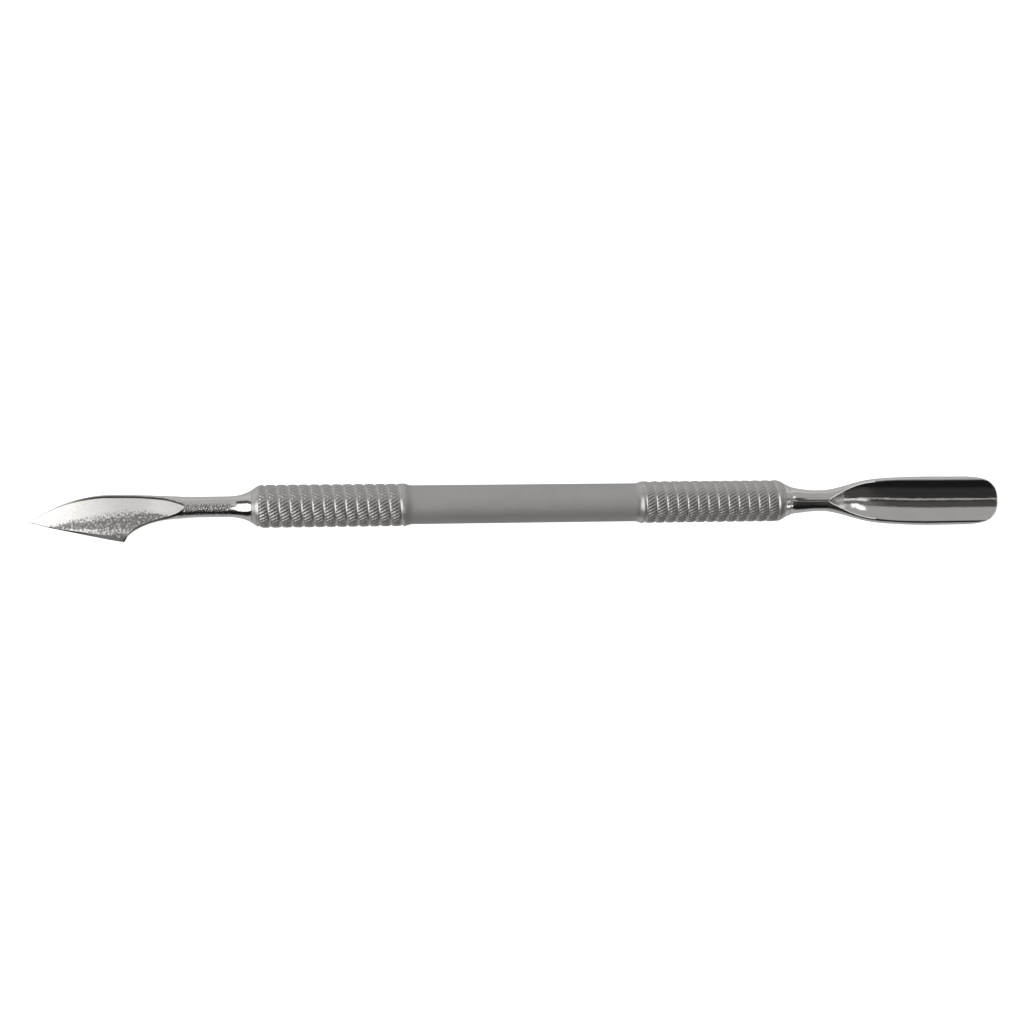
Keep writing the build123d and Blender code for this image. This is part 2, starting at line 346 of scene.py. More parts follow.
def edge_shade_band(x, y):
    """Painted shade towards the cutting edge, which also sets where the grain grows stronger: 0
    on the bright face, rising to 1 towards the cutting edge; the limits slope with the blade.

    Works in mm: along runs from 4 mm short of the point towards the handle, across towards +Y.
    """
    along = x * 1000.0 + 63.6
    across = y * 1000.0
    # the painted shade starts at the lower of two lines, each an offset and a slope
    start = combine("MINIMUM", -1.65 + along * 0.25, 2.35 - along * 0.20)
    # full shade follows a line that bends beyond 8.6 mm and stays 0.8 mm past the start
    full = (-2.25 + along * 0.07) + combine("MAXIMUM", along - 8.6, 0.0) * 0.16
    full = combine("MINIMUM", full, start - 0.8)
    shaded = combine("DIVIDE", start - across, start - full, clamp=True)
    shaded = combine("POWER", shaded, 1.9)
    # lighter painted shade in the strip nearest the edge, except towards the heel
    heel = across.step(over=(-3.9, -3.3), to=(0.6, 0.0)) * along.step(over=(5.5, 8.0))
    strip = combine("ADD", 0.24 + along * 0.03, heel, clamp=True)
    return shaded * across.step(over=(-2.95, -2.60)).mix(low=strip, high=1.0)


def ground_steel(name, grain_strength, roughness, seed, pale, shade_depth):
    """Ground steel: grain that sparkles where it tips towards a light.

    seed shifts the pattern and pale scales the colour; the last setting, when not zero, adds the
    painted darkening towards the neck, and it sets how far the painted shade band towards the
    cutting edge darkens the colour.
    """
    material, position = new_material(name)
    pattern = position.vector("ADD", (seed, seed * 0.7, 0.0))
    grain = pattern.noise(scale=3500.0, detail=3.0, roughness=0.62)
    coarse = pattern.noise(scale=1200.0, detail=2.0, roughness=0.6)
    lay = pattern.vector("MULTIPLY", (1500.0, 6000.0, 6000.0)).noise(
        scale=1.0, detail=2.0, roughness=0.5)
    dark, light = (0.60, 0.59, 0.58), (0.84, 0.83, 0.82)
    color = grain.mix_color(low=(*(pale * c for c in dark), 1),
                            high=(*(pale * c for c in light), 1))
    x, y, _ = position.axes()
    if shade_depth:
        # painted shade: darker from the point towards the neck
        shine = (x.step(over=(-0.0655, -0.0535), to=(1.05, 0.65))
                 + x.step(over=(-0.0535, -0.0490), to=(0.0, 0.08)))
        color = (1.05 - shine).mix_color(low=color, high=(0.02, 0.02, 0.02, 1))
    grain_and_shade_band = edge_shade_band(x, y)
    shade_fleck = grain.vary(amount=5.0) * grain_and_shade_band.step(over=(0.01, 0.30))
    painted_shade = combine("ADD", grain_and_shade_band.step(over=(0.0, 1.0)), shade_fleck, clamp=True) * shade_depth
    # painted shade: a dark band with dark flecks towards the cutting edge
    color = painted_shade.mix_color(low=color, high=(0.078, 0.076, 0.074, 1))
    height = grain + coarse * 0.6 + lay * 0.15      # share of each grain in the relief
    strength = grain_and_shade_band.step(over=(0.0, 0.45), to=(0.12, 1.0)) * grain_strength
    normal = height.bump(strength=strength, distance=0.00005)
    return finish_material(material, color, 1.0, roughness + coarse.vary(amount=0.16), normal)


def mottled_metal(name, scale, dark, light, metallic, roughness, spread, strength, distance):
    """One noise drives the colour, the roughness (base plus spread) and the bump."""
    material, position = new_material(name)
    mottle = position.noise(scale=scale, detail=2.0, roughness=0.5)
    return finish_material(material, mottle.mix_color(dark, light), metallic,
                           roughness + mottle * spread, mottle.bump(strength, distance))


def edge_steel():
    """Chamfers beside the blade's ground faces: darker than the face, paling to the point."""
    material, position = new_material("edge_steel")
    streaks = position.vector("MULTIPLY", (900.0, 3000.0, 3000.0)).noise(
        scale=1.0, detail=2.0, roughness=0.55)
    pale = position.axes()[0].step(over=(-0.0638, -0.0580), to=(1.0, 0.0))
    dark = streaks.mix_color(low=(0.11, 0.107, 0.104, 1), high=(0.23, 0.225, 0.22, 1))
    color = pale.mix_color(low=dark, high=(0.92, 0.91, 0.90, 1))
    base, spread = 0.22, 0.14                       # roughness
    normal = streaks.bump(strength=0.25, distance=0.000010)
    return finish_material(material, color, 1.0, base + streaks * spread, normal)


STONED = edge_steel()
SATIN = satin_steel()
POLISH = polished_steel()
BRAZE = mottled_metal(
    "silver_braze", scale=2500.0, dark=(0.62, 0.58, 0.48, 1), light=(0.74, 0.71, 0.62, 1),
    metallic=1.0, roughness=0.30, spread=0.15, strength=0.3, distance=0.00001)
# edge round the mouth of the pusher's hollow, painted near white as a highlight and slightly
# frosted
MOUTH_HIGHLIGHT = mottled_metal(
    "mouth_highlight", scale=2600.0, dark=(0.86, 0.85, 0.84, 1), light=(0.96, 0.955, 0.95, 1),
    metallic=0.05, roughness=0.34, spread=0.12, strength=0.25, distance=0.000012)
GROUND = ground_steel("ground_steel", grain_strength=0.62, roughness=0.19, seed=0.0,
                      pale=1.0, shade_depth=0.88)
HONED = ground_steel("honed_steel", grain_strength=0.20, roughness=0.24, seed=0.013,
                     pale=0.20, shade_depth=0.0)


# -------------------------------------------------------------- handle bar
BAR_COLUMNS = 288
BAR_SEAM = 13.0                   # the bar is three meshes that meet at x = +-BAR_SEAM
SEAM_HOLE = 1.8                   # inner radius of the seam faces
POLISHED_FROM = 37.10             # the pusher end of the bar is polished beyond this x
KNURL_STARTS = 36                 # knurl cuts each way round the bar
KNURL_TWIST = KNURL_STARTS * math.tan(math.radians(31)) / GRIP_RADIUS
KNURL_DEPTH = 0.118
KNURL_TURNS = (-1.0, 12.0)        # extent of the knurl, in turns of the groove
GROOVE_DEPTH, GROOVE_HALF_WIDTH = 0.15, 0.27
CROWN = 0.045                     # how far the lands fall towards the groove's centre

# x, radius of the plain bar
bar_radius = curve([
    (-37.88, 2.26), (-37.62, 2.45), (-37.35, 2.65), (-37.08, 2.80), (-36.81, 2.90),
    (-36.5, 2.955), (-36.2, 2.97), (-17.25, 2.97), (-17.0, 2.93), (-16.75, 2.84),
    (-16.5, 2.765), (-16.15, 2.71), (-15.9, 2.70), (15.4, 2.70), (15.7, 2.72), (16.0, 2.80),
    (16.2, 2.88), (16.4, 2.945), (16.65, 2.97), (36.2, 2.97), (36.5, 2.93), (36.75, 2.84),
    (37.0, 2.71), (37.28, 2.56), (37.58, 2.41), (37.88, 2.26)])

# zone: x range that is cut; origin: groove's x at angle 0 of turn 0; turns: the groove's run;
# knurl: x range of the knurl; weights: for the two sets of cuts, the depth on the -Y side,
# the change towards +Y, and the cosines between which it changes
GRIPS = (
    dict(zone=(-38.5, -16.2), origin=-36.15, pitch=1.4925, turns=(-0.60, 12.75),
         knurl=(-36.95, -17.2), weights=((1, -0.50, 0.10, 0.50), (0.34, 0.66, 0.10, 0.50))),
    dict(zone=(15.9, 38.5), origin=17.67, pitch=1.483, turns=(-0.90, 12.42),
         knurl=(16.72, 36.6), weights=((1, -0.40, 0.30, 0.75), (0.36, 0.16, 0.20, 0.60))),
)


def vee(phase):
    """Straight-sided cut with a narrow flat crest: 1 at the bottom, 0 on the crest."""
    distance = np.abs((phase / (2 * PI) + 0.5) % 1.0 - 0.5)
    return np.clip(1.04 - np.sqrt((distance / 0.41) ** 2 + 0.0016), 0, 1)


def bar_surface(x, angle):
    """Radius, relief depth (0 to 1) and knurled share at x and the angle from +Y towards +Z."""
    radius = bar_radius(x)
    relief = np.zeros_like(radius)
    turn = angle / (2 * PI)
    cuts = (vee(KNURL_STARTS * angle + KNURL_TWIST * x),
            vee(KNURL_STARTS * angle - KNURL_TWIST * x))
    for grip in GRIPS:
        inside = (x > grip["zone"][0]) & (x < grip["zone"][1])
        turns = (x - grip["origin"]) / grip["pitch"] - turn
        nearest = np.round(turns)
        offset = (turns - nearest) * grip["pitch"]      # mm from the groove's centre
        present = window(*grip["turns"], 0.12, nearest + turn)
        away = np.abs(offset)
        groove = 0.5 + 0.5 * np.cos(np.clip(away / GROOVE_HALF_WIDTH, 0, 1) * PI)
        crown = CROWN * (0.5 + 0.5 * np.cos(2 * PI * offset / grip["pitch"]))
        low, high = grip["knurl"]
        crown = crown * window(low, high, 0.2, x)
        # the knurl stops at the groove and at the grip's ends
        mask = ramp(0.17, 0.24, away + (1 - present) * 0.5)
        mask = mask * ramp(low, low + 0.10, x) * (1 - ramp(high - 0.1, high, x))
        mask = mask * (turns > KNURL_TURNS[0]) * (turns < KNURL_TURNS[1])
        knurl = np.maximum(*(
            cut * (level + change * ramp(start, end, np.cos(angle)))
            for cut, (level, change, start, end) in zip(cuts, grip["weights"])))
        depth = GROOVE_DEPTH * groove * present + crown + KNURL_DEPTH * knurl * mask
        radius = radius - np.where(inside, depth, 0)
        relief = np.where(inside, np.maximum(knurl * mask, 0.35 * groove * present), relief)
    knurled = np.where(x < 0, ramp(-17.0, -17.35, x), ramp(15.1, 15.7, x))
    return radius, relief, knurled


def bar_piece(name, xs, before, after, centres, creases, polished_from=None):
    """One length of the bar; before and after are the (x, radius) circles that close it
    inside, centres the x of the points they close on."""
    angles = np.arange(BAR_COLUMNS) * 2 * PI / BAR_COLUMNS
    x_grid, angle_grid = np.meshgrid(xs, angles, indexing="ij")
    radius, relief, knurled = bar_surface(x_grid, angle_grid)
    profile = [*before, *zip(xs, radius), *after]
    rings = [circle(x, ring_radius, angles)[::-1] for x, ring_radius in profile]
    slots = np.zeros((len(rings) - 1, BAR_COLUMNS), int)
    materials = [SATIN]
    if polished_from is not None:
        slots[len(before) + int(np.searchsorted(xs, polished_from)):] = 1
        materials.append(POLISH)
    start, end = ((x, 0, 0) for x in centres)
    piece = add_piece(name, rings, start, end, materials, slots, creases)
    for key, values in (("relief", relief), ("knurled", knurled)):
        flat = np.concatenate([np.zeros(len(before) * BAR_COLUMNS), values[:, ::-1].ravel(),
                               np.zeros(len(after) * BAR_COLUMNS + 2)])
        attribute = piece.data.attributes.new(key, "FLOAT", "POINT")
        attribute.data.foreach_set("value", flat.astype(np.float32))
    return piece


def handle_bar():
    seam, half = BAR_SEAM, HALF_LENGTH
    left = np.concatenate([
        [-half + 0.02], np.arange(-half + 0.09, -36.95, 0.07),
        np.arange(-36.95, -17.25, 0.083), np.arange(-17.25, -15.9, 0.07),
        [-15.6, -14.5, -seam]])
    right = np.concatenate([
        [seam, 14.5, 15.2], np.arange(15.4, 16.6, 0.07), np.arange(16.6, 36.2, 0.083),
        np.arange(36.2, half - 0.05, 0.07), [half - 0.02]])
    middle = np.linspace(-seam, seam, 40)
    # socket for a tang, from its floor out to the end face
    socket = [(half - SOCKET_DEPTH - 0.35, SOCKET_RADIUS * 0.5),
              (half - SOCKET_DEPTH, SOCKET_RADIUS), (half - SOCKET_CHAMFER, SOCKET_RADIUS),
              (half, SOCKET_RADIUS + SOCKET_CHAMFER), (half, END_RADIUS - 0.03)]
    mirrored = [(-x, radius) for x, radius in socket]
    floor_x = half - SOCKET_DEPTH - 0.7
    left_seam, right_seam = [(-seam, SEAM_HOLE)], [(seam, SEAM_HOLE)]
    return [
        bar_piece("handle_bar_knife_grip", left, mirrored, left_seam,
                  (-floor_x, -seam), (1, 2, 3, 4, -2)),
        bar_piece("handle_bar_middle", middle, left_seam, right_seam, (-seam, seam), (1, -2)),
        bar_piece("handle_bar_pusher_grip", right, right_seam, socket[::-1],
                  (seam, floor_x), (1, -2, -3, -4, -5), POLISHED_FROM),
    ]


# -------------------------------------------------------------- pusher end
# x, half width, depth below the centreline, level of the widest line
pusher_section = curve([
    (37.93, 2.26, 2.26, 0), (38.25, 2.10, 2.10, 0), (38.85, 1.90, 1.90, 0),
    (39.60, 1.77, 1.77, 0), (40.40, 1.66, 1.66, 0), (41.40, 1.56, 1.56, 0),
    (42.40, 1.51, 1.51, 0), (43.60, 1.52, 1.52, 0), (44.80, 1.68, 1.52, 0),
    (46.00, 1.95, 1.52, 0), (47.30, 2.28, 1.52, -0.05), (48.60, 2.63, 1.52, -0.14),
    (49.90, 2.92, 1.51, -0.20), (51.20, 3.13, 1.50, -0.26), (53.00, 3.31, 1.48, -0.30),
    (55.00, 3.43, 1.46, -0.32), (58.00, 3.55, 1.45, -0.37), (61.00, 3.60, 1.45, -0.40),
    (65.60, 3.58, 1.42, -0.38), (72.60, 3.58, 1.20, -0.38)])
MOUTH_START = 43.70
MOUTH_HALF_WIDTH = 0.02           # where the hollow opens
# the hollow's mouth: x, half width, height of its edge, shift of its middle towards +Y
mouth_section = curve([
    (MOUTH_START, MOUTH_HALF_WIDTH, 1.52, 0), (44.00, 0.24, 1.505, 0), (44.40, 0.46, 1.46, 0),
    (45.50, 0.98, 1.27, 0.02), (46.60, 1.48, 1.02, 0.05), (47.70, 1.89, 0.80, 0.06),
    (49.10, 2.31, 0.63, 0.07), (50.60, 2.59, 0.53, 0.06), (52.10, 2.76, 0.485, 0.05),
    (54.00, 2.91, 0.46, 0.04), (56.00, 2.98, 0.45, 0.02), (61.00, 3.02, 0.45, 0),
    (65.60, 3.02, 0.44, 0), (72.60, 2.98, 0.43, 0)])
# outline of the lip: distance from the middle line, x
lip_x = curve([
    (-0.3, 72.50), (0, 72.51), (0.3, 72.50), (0.6, 72.47), (0.9, 72.40), (1.2, 72.31),
    (1.5, 72.16), (1.8, 71.97), (2.1, 71.70), (2.4, 71.36), (2.7, 70.92), (2.85, 70.66),
    (3.0, 70.34), (3.15, 69.95), (3.3, 69.42), (3.4, 68.95), (3.5, 68.1), (3.58, 66.9),
    (3.62, 66.1)])
HOLLOW_RADIUS = 4.63
LIP_START = 65.6                  # from here the sections stretch out to the lip's outline
LIP_EDGE = 0.26                   # length over which the lip turns over
LIP_THINNING = 0.30               # share of its thickness that the lip loses
MOUTH_ROUND_HALF_WIDTH, MOUTH_HIGHLIGHT_END = 0.07, 51.5
RIM_POINTS, HOLLOW_POINTS = 20, 60
LOWER_POINTS = 2 * RIM_POINTS + HOLLOW_POINTS


def pusher_chains(x):
    """Section at x: lower and upper chain, both from +Y to -Y, (y, z) from the centreline."""
    half_width, depth, widest = (float(v) for v in pusher_section(x))
    mouth, mouth_z, shift = (float(v) for v in mouth_section(x))
    angles = np.linspace(0, PI, LOWER_POINTS)
    lower = np.stack([half_width * np.cos(angles),
                      widest - (depth + widest) * np.sin(angles)], 1)
    solid = x <= MOUTH_START
    if solid:       # the middle columns gather where the hollow will open
        mouth, height, soft = MOUTH_HALF_WIDTH, half_width, 0.0
    else:
        height = (mouth_z - widest) / math.sqrt(1 - (mouth / half_width) ** 2)
        soft = min(MOUTH_ROUND_HALF_WIDTH, 0.25 * mouth)

    def top_z(y):
        inside = np.maximum(1 - (np.asarray(y, float) / half_width) ** 2, 0)
        return widest + height * np.sqrt(inside)

    left, right = shift + mouth, shift - mouth
    left_angle = math.asin((left + soft) / half_width)
    right_angle = math.asin((soft - right) / half_width)
    u = np.linspace(0, 1, RIM_POINTS)
    left_rim = half_width * np.sin(PI / 2 + (left_angle - PI / 2) * u)
    right_rim = -half_width * np.sin(PI / 2 + (right_angle - PI / 2) * u)[::-1]
    hollow = np.linspace(left - soft, right + soft, HOLLOW_POINTS)
    if solid:
        hollow_z = top_z(hollow)
    else:
        left_z, right_z = float(top_z(left)), float(top_z(right))
        chord = right_z + (left_z - right_z) * (hollow - right) / (left - right)
        hollow_z = (chord + math.sqrt(HOLLOW_RADIUS ** 2 - mouth * mouth)
                    - np.sqrt(HOLLOW_RADIUS ** 2 - (hollow - shift) ** 2))
    y = np.concatenate([left_rim, hollow, right_rim])
    z = np.concatenate([top_z(left_rim), hollow_z, top_z(right_rim)])
    z[0] = z[-1] = widest
    return lower, np.stack([y, z], 1)


def pusher_ring(x, y, z):
    """Place a section on the bent centreline, which also leans a little towards -Y."""
    lean = -0.06 * ramp(38.4, 40.4, x) - 0.18 * ramp(44.0, 62.0, x)
    return np.stack([x, y + lean, z + centre_z(x)], 1)


def lip_rings():
    """Rings from LIP_START out to the rounded outline, the last ones turning over its edge."""
    lower, upper = pusher_chains(LIP_START)
    y, flat_z = np.concatenate([lower, upper[-2:0:-1]]).T
    columns = np.arange(LOWER_POINTS)
    partner = np.concatenate([columns, columns[-2:0:-1]])
    middle = (0.5 * (lower[:, 1] + upper[:, 1]))[partner]
    half_thick = (0.5 * (upper[:, 1] - lower[:, 1]))[partner]
    below = np.arange(len(y)) < LOWER_POINTS
    outline = lip_x(np.abs(y))
    slope = (lip_x(np.abs(y) + 0.01) - lip_x(np.abs(y) - 0.01)) / 0.02
    # the edge is measured square to the outline, but never takes up the whole run
    edge = np.minimum(LIP_EDGE * np.sqrt(1 + slope ** 2), 0.8 * (outline - LIP_START) + 1e-4)
    rings = []

    def add_ring(x, squeeze=None):
        thinning = LIP_THINNING * np.clip((x - LIP_START) / (72.5 - LIP_START), 0, 1)
        z = np.where(below, flat_z + thinning * 2 * half_thick, flat_z)
        if squeeze is not None:
            centre = middle + thinning * half_thick
            z = centre + (z - centre) * squeeze
        rings.append(pusher_ring(x, y, z))

    for u in np.linspace(0, 1, 34)[1:]:
        add_ring(LIP_START + (outline - edge - LIP_START) * u)
    for left in (0.21, 0.16, 0.11, 0.07, 0.035, 0.012, 0.0):      # distance to the outline
        turned = 1 - left / LIP_EDGE
        squeeze = max(math.sqrt(max(1 - turned * turned, 0)), 0.12)
        add_ring(outline - edge * (left / LIP_EDGE), squeeze)
    return rings


def pusher_end():
    xs = np.concatenate([
        np.arange(SHANK_START, 43.60, 0.14), [43.62, MOUTH_START], np.arange(43.74, 46.0, 0.05),
        np.arange(46.0, 53.0, 0.085), np.arange(53.0, LIP_START - 0.1, 0.25), [LIP_START]])
    rings = []
    for x in xs:
        lower, upper = pusher_chains(x)
        loop = np.concatenate([lower, upper[-2:0:-1]])
        rings.append(pusher_ring(np.full(len(loop), x), *loop.T))
    rings += lip_rings()
    rings = [ring[::-1] for ring in tang_rings(rings[0], 1) + rings]

    # painted highlight on the rounded edge along both sides of the mouth
    first = TANG_RINGS + int(np.searchsorted(xs, MOUTH_START + 0.01))
    final = TANG_RINGS + int(np.searchsorted(xs, MOUTH_HIGHLIGHT_END))
    highlight_columns = [RIM_POINTS - 2, RIM_POINTS + HOLLOW_POINTS - 2]
    slots = np.zeros((len(rings) - 1, len(rings[0])), int)
    slots[first:final, highlight_columns] = 1
    lines = [(first, final, column + side) for column in highlight_columns for side in (0, 1)]
    return add_piece("pusher_end_fine", rings, (HALF_LENGTH - TANG_LENGTH, 0, 0), None,
                     [POLISH, MOUTH_HIGHLIGHT], slots, (1, 2, 3, -1), lines)


# --------------------------------------------------------------- knife end
# In this section d is the distance from mid-handle towards the point (-X).
FACE_START, HEEL, POINT = 46.85, 54.93, 67.63
SIDE_POINTS, FACE_POINTS = 16, 60
HALF_POINTS = 2 * SIDE_POINTS + FACE_POINTS       # upper half, spine to edge

# d, y of the outline: spine, concave side up to the heel, cutting edge beyond it
spine_y = curve([
    (37.93, 2.26), (38.20, 2.08), (38.70, 1.85), (39.30, 1.65), (40.00, 1.50), (41.00, 1.42),
    (42.50, 1.41), (44.50, 1.40), (46.00, 1.40), (46.94, 1.42), (48.00, 1.49), (50.13, 1.58),
    (52.27, 1.69), (54.41, 1.75), (56.54, 1.78), (57.60, 1.76), (58.67, 1.66), (59.73, 1.49),
    (60.79, 1.27), (61.85, 0.97), (62.91, 0.62), (63.98, 0.17), (65.30, -0.45),
    (66.58, -1.15), (POINT, -1.77)])
hook_y = curve([
    (37.93, -2.26), (38.20, -2.08), (38.70, -1.85), (39.30, -1.65), (40.00, -1.50),
    (41.00, -1.42), (42.50, -1.41), (44.50, -1.40), (45.88, -1.43), (46.94, -1.50),
    (48.00, -1.57), (49.07, -1.66), (50.13, -1.81), (51.20, -2.07), (52.27, -2.45),
    (53.34, -2.96), (54.00, -3.42), (54.41, -3.79), (HEEL, -4.64)])
edge_y = curve([
    (HEEL, -4.64), (55.47, -4.56), (56.54, -4.37), (57.60, -4.15), (58.67, -3.93),
    (59.73, -3.70), (60.79, -3.47), (61.85, -3.24), (62.91, -3.01), (63.98, -2.78),
    (65.05, -2.54), (66.63, -2.11), (POINT, -1.85)])
# d, y of the ground face's limits: spine side, concave side, bevel line
face_top_y = curve([
    (FACE_START, 0.02), (46.92, 0.12), (47.20, 0.29), (47.70, 0.47), (48.40, 0.70),
    (49.20, 0.90), (50.20, 1.04), (51.42, 1.15), (52.75, 1.25), (54.40, 1.30), (57.40, 1.33),
    (58.70, 1.24), (60.72, 0.94), (62.91, 0.37), (65.00, -0.45), (66.60, -1.22),
    (POINT, -1.79)])
face_hook_y = curve([
    (FACE_START, -0.02), (46.92, -0.18), (47.20, -0.42), (47.72, -0.76), (48.80, -1.16),
    (50.10, -1.50), (51.40, -1.87), (52.80, -2.42), (53.60, -2.92), (54.13, -3.34),
    (54.60, -3.86), (HEEL, -4.14)])
face_edge_y = curve([
    (HEEL, -4.14), (55.56, -4.03), (56.90, -3.76), (58.80, -3.46), (61.60, -3.05),
    (64.60, -2.54), (66.60, -2.06), (POINT, -1.83)])
# d, height above the centreline: the face's crest, its spine-side limit
crest_z = curve([
    (FACE_START, 1.42), (47.70, 1.335), (48.80, 1.225), (50.10, 1.10), (51.50, 0.985),
    (52.50, 0.92), (53.40, 0.865), (54.93, 0.78), (56.50, 0.705), (58.70, 0.60),
    (60.80, 0.50), (62.90, 0.385), (65.00, 0.26), (66.60, 0.14), (POINT, 0.035)])
face_top_z = curve([
    (FACE_START, 1.42), (47.20, 1.37), (47.70, 1.30), (48.80, 1.165), (50.10, 1.03),
    (51.50, 0.905), (52.50, 0.835), (53.40, 0.78), (54.93, 0.69), (56.50, 0.61),
    (58.70, 0.505), (60.80, 0.415), (62.90, 0.315), (65.00, 0.205), (66.60, 0.105),
    (POINT, 0.025)])
# d, y and height of the line that the face rolls down to
roll_line = curve([
    (FACE_START, -1.60, 1.20), (47.50, -2.20, 0.95), (49.00, -3.20, 0.60),
    (51.00, -4.00, 0.40), (53.00, -4.25, 0.28), (54.93, -4.14, 0.21), (55.56, -4.03, 0.205),
    (56.90, -3.76, 0.20), (58.80, -3.46, 0.175), (61.60, -3.05, 0.13), (64.60, -2.54, 0.075),
    (66.60, -2.06, 0.035), (POINT, -1.83, 0.015)])


def face_z(d, y):
    """Height of the ground face: nearly flat by the spine, rolling over towards the edge."""
    top, crest, top_z = float(face_top_y(d)), float(crest_z(d)), float(face_top_z(d))
    roll_y, roll_z = (float(v) for v in roll_line(d))
    span = top - roll_y
    crest_y, roll_start = top - 0.34 * span, top - 0.40 * span
    z = crest - (crest - top_z) * np.clip((y - crest_y) / (top - crest_y), 0, 1) ** 2
    rolled = np.clip((roll_start - y) / (roll_start - roll_y), 0, 1) ** 2.1
    return z - (crest - roll_z) * rolled


def neck_half(d, top, bottom):
    """Half circle; its middle columns gather so that the face can open from a point."""
    even = np.linspace(0, PI, HALF_POINTS)
    gathered = np.concatenate([
        np.linspace(0, PI / 2 - 0.014, SIDE_POINTS),
        np.linspace(PI / 2 - 0.013, PI / 2 + 0.013, FACE_POINTS),
        np.linspace(PI / 2 + 0.014, PI, SIDE_POINTS)])
    lead = float(ramp(41.0, FACE_START, d))
    angles = even * (1 - lead) + gathered * lead
    radius = 0.5 * (top - bottom)
    return np.stack([0.5 * (top + bottom) + radius * np.cos(angles),
                     radius * np.sin(angles)], 1)


def side_band(outer, inner, inner_z, flat):
    """From the outline up to the face: the neck's arc, turning into an ellipse as flat rises."""
    u = np.linspace(0, 1, SIDE_POINTS)
    ellipse_y = inner + (outer - inner) * np.cos(u * PI / 2)
    ellipse_z = inner_z * np.sin(u * PI / 2)
    if flat >= 1:
        return np.stack([ellipse_y, ellipse_z], 1)
    angle = math.acos(min(1, abs(inner) / abs(outer)))
    arc_z = np.sin(u * angle) / math.sin(angle) * inner_z
    arc_y = np.cos(u * angle)
    arc_y = inner + (outer - inner) * (arc_y - arc_y[-1]) / (arc_y[0] - arc_y[-1])
    return np.stack([arc_y * (1 - flat) + ellipse_y * flat,
                     arc_z * (1 - flat) + ellipse_z * flat], 1)


def straight_band(outer, inner, inner_z, start):
    """Straight side from the share start of inner_z up to the face."""
    u = np.linspace(0, 1, SIDE_POINTS)
    return np.stack([outer + (inner - outer) * u, inner_z * (start + (1 - start) * u)], 1)


def blade_half(d, top, bottom):
    """Upper half of the blade: spine side, ground face, edge side."""
    face_top = float(face_top_y(d))
    face_bottom = float(face_hook_y(d)) if d <= HEEL else float(face_edge_y(d))
    y = np.linspace(face_top, face_bottom, FACE_POINTS + 2)
    z = face_z(d, y)
    flat = float(ramp(46.5, 50.5, d))
    spine = side_band(top, face_top, z[0], flat)
    edge = side_band(bottom, face_bottom, z[-1], flat)
    tip = float(ramp(60.0, 64.0, d))
    spine = spine * (1 - tip) + straight_band(top, face_top, z[0], 0.10) * tip
    # chamfer between the rounded spine and the ground face
    cut = np.minimum(spine[:, 1], z[0] - 0.40 * (spine[:, 0] - face_top))
    spine[:, 1] = spine[:, 1] + (cut - spine[:, 1]) * float(ramp(47.6, 49.5, d))
    keen = float(ramp(53.7, 54.9, d))
    edge = edge * (1 - keen) + straight_band(bottom, face_bottom, z[-1], 0.06) * keen
    return np.concatenate([spine, np.stack([y[1:-1], z[1:-1]], 1), edge[::-1]])


def knife_ring(d):
    top = float(spine_y(d))
    bottom = float(hook_y(d)) if d <= HEEL else float(edge_y(d))
    half = neck_half if d <= FACE_START else blade_half
    upper = half(d, top, bottom)
    loop = np.concatenate([upper, upper[-2:0:-1] * (1, -1)])
    return np.stack([np.full(len(loop), -d), loop[:, 0], loop[:, 1] + float(centre_z(-d))], 1)


def knife_end():
    ds = np.concatenate([
        np.arange(SHANK_START, 46.0, 0.14), np.arange(46.0, 46.84, 0.07), [FACE_START],
        np.arange(46.87, 48.0, 0.035), np.arange(48.0, 53.4, 0.10),
        np.arange(53.4, HEEL - 0.02, 0.045), [HEEL], np.arange(HEEL + 0.05, 56.0, 0.08),
        np.arange(56.0, 66.6, 0.14), np.arange(66.6, 67.6, 0.07), [POINT]])
    rings = [knife_ring(d) for d in ds]
    rings = tang_rings(rings[0], -1) + rings
    last_ring = len(rings) - 1
    face_ring, heel_ring, keen_ring = (
        TANG_RINGS + int(np.searchsorted(ds, d)) for d in (FACE_START, HEEL - 0.3, 53.0))
    first, last = SIDE_POINTS - 1, SIDE_POINTS + FACE_POINTS      # the face's columns
    edge_column = HALF_POINTS - 1
    slots = np.zeros((last_ring, len(rings[0])), int)

    def paint(i, columns, slot):
        """Set the columns' faces on both the upper and the lower side."""
        slots[i, columns] = slot
        slots[i, 2 * edge_column - columns - 1] = slot

    spine_side, edge_side = np.arange(1, first), np.arange(last, edge_column - 1)
    for i in range(face_ring, last_ring):
        y = rings[i][:, 1]
        paint(i, np.arange(first, last), 1)
        paint(i, spine_side[y[spine_side] - y[first] < 0.31], 3)
        if i < heel_ring:
            paint(i, edge_side[y[last] - y[edge_side] < 0.30], 3)
        else:
            paint(i, np.arange(last, edge_column), 2)

    lines = [(face_ring, last_ring, column)
             for c in (first, last) for column in (c, 2 * edge_column - c)]
    lines.append((keen_ring, last_ring, edge_column))
    end = rings[-1].mean(0)
    end[0] = -POINT
    return add_piece("knife_end_fine", rings, (-(HALF_LENGTH - TANG_LENGTH), 0, 0), tuple(end),
                     [POLISH, GROUND, HONED, STONED], slots, (1, 2, 3, -1), lines)


def build_tool():
    pieces = [(bar, "handle_bar", "satin_steel") for bar in handle_bar()]
    pieces.append((pusher_end(), "pusher_end", "polished_steel"))
    pieces.append((knife_end(), "knife_end", "polished_steel"))
    for piece, node, slot in pieces:
        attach(piece, "root")
        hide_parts(node)
    for node in ("pusher_end_braze", "knife_end_braze"):
        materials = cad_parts[node].data.materials
        materials.clear()
        materials.append(BRAZE)


